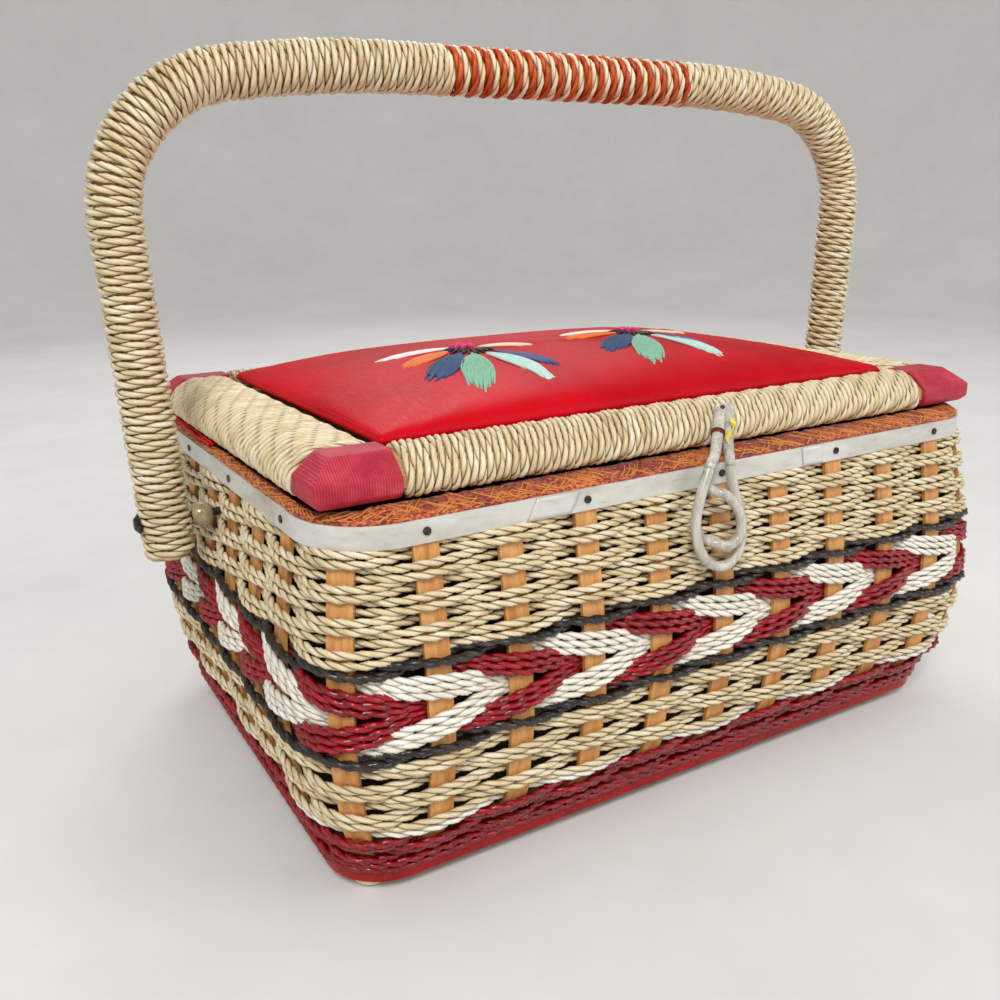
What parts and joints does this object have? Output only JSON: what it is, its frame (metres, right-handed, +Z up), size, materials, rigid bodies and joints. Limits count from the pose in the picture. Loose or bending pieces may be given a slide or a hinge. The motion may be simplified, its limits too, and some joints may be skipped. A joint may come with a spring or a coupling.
{
  "type": "wicker sewing box",
  "caption": "Woven wicker sewing box with a padded satin lid on rear hinges, a vinyl loop latch, dome feet and a cord-wrapped swing handle.",
  "frame": {"origin": "on the floor under the middle of the box, at the middle of its outer box", "axes": "+X along the front to the right, -Y towards the latch at the front, +Z up"},
  "size_m": [0.3688, 0.2406, 0.2816],
  "materials": {
    "honey_wood": "satin",
    "board_wood": "matte",
    "red_paint": "gloss",
    "dark_nail": "satin",
    "ivory_plastic": "gloss",
    "straw_cord": "satin",
    "red_cord": "gloss",
    "white_cord": "satin",
    "dark_cord": "gloss",
    "chevron_cord": "satin",
    "grey_band": "satin",
    "red_lining": "satin",
    "gold_trim": "satin",
    "red_satin": "satin",
    "raspberry_tape": "satin",
    "brass": "satin",
    "grey_vinyl": "gloss",
    "bead_wood": "gloss",
    "orange_cord": "satin",
    "cream_cord": "satin"
  },
  "bodies": {
    "basket": {"base_board": "board_wood", "base_band": "red_paint", "base_nails": "dark_nail", "feet": "ivory_plastic", "foot_nails": "dark_nail", "front_stakes": "honey_wood", "rear_stakes": "honey_wood", "left_stakes": "honey_wood", "right_stakes": "honey_wood", "corner_stakes": "honey_wood", "red_rows": "red_cord", "white_row": "white_cord", "lower_natural_rows": "straw_cord", "lower_dark_row": "dark_cord", "chevron_band": "chevron_cord", "upper_dark_row": "dark_cord", "upper_natural_rows": "straw_cord", "rim_hoop": "board_wood", "rim_band": "grey_band", "rim_nails": "dark_nail", "basket_lining": "red_lining", "lining_trim": "gold_trim", "catch_loop": "grey_vinyl", "pivot_beads": "bead_wood", "pivot_pins": "dark_nail", "pivot_blocks": "board_wood", "hinge_rim_leaves": "brass", "hinge_pins": "brass"},
    "lid": {"hinge_lid_leaves": "brass", "lid_board": "board_wood", "lid_lining": "red_lining", "lid_pad": "red_satin", "front_bar_core": "board_wood", "rear_bar_core": "board_wood", "left_bar_core": "board_wood", "right_bar_core": "board_wood", "front_bar_wrap": "straw_cord", "rear_bar_wrap": "straw_cord", "left_bar_wrap": "straw_cord", "right_bar_wrap": "straw_cord", "front_left_cover": "raspberry_tape", "front_right_cover": "raspberry_tape", "rear_left_cover": "raspberry_tape", "rear_right_cover": "raspberry_tape", "latch_tab": "grey_vinyl", "latch_tack": "dark_nail"},
    "latch": {"latch_loop": "grey_vinyl"},
    "handle": {"handle_core": "board_wood", "left_handle_wrap": "straw_cord", "right_handle_wrap": "straw_cord", "grip_winding_orange": "orange_cord", "grip_winding_cream": "cream_cord"}
  },
  "joints": [
    {"name": "lid_open", "type": "hinge", "parent": "basket", "child": "lid", "pos_m": [0, 0.1015, 0.1347], "axis": [-1, 0, 0], "range_deg": [0, 40]},
    {"name": "latch_swing", "type": "hinge", "parent": "lid", "child": "latch", "pos_m": [0, -0.1147, 0.13485], "axis": [-1, 0, 0], "range_deg": [0, 110], "deforming": ["catch_loop"]},
    {"name": "handle_swing", "type": "hinge", "parent": "basket", "child": "handle", "pos_m": [0, 0, 0.1135], "axis": [1, 0, 0], "range_deg": [-120, 120]}
  ]
}
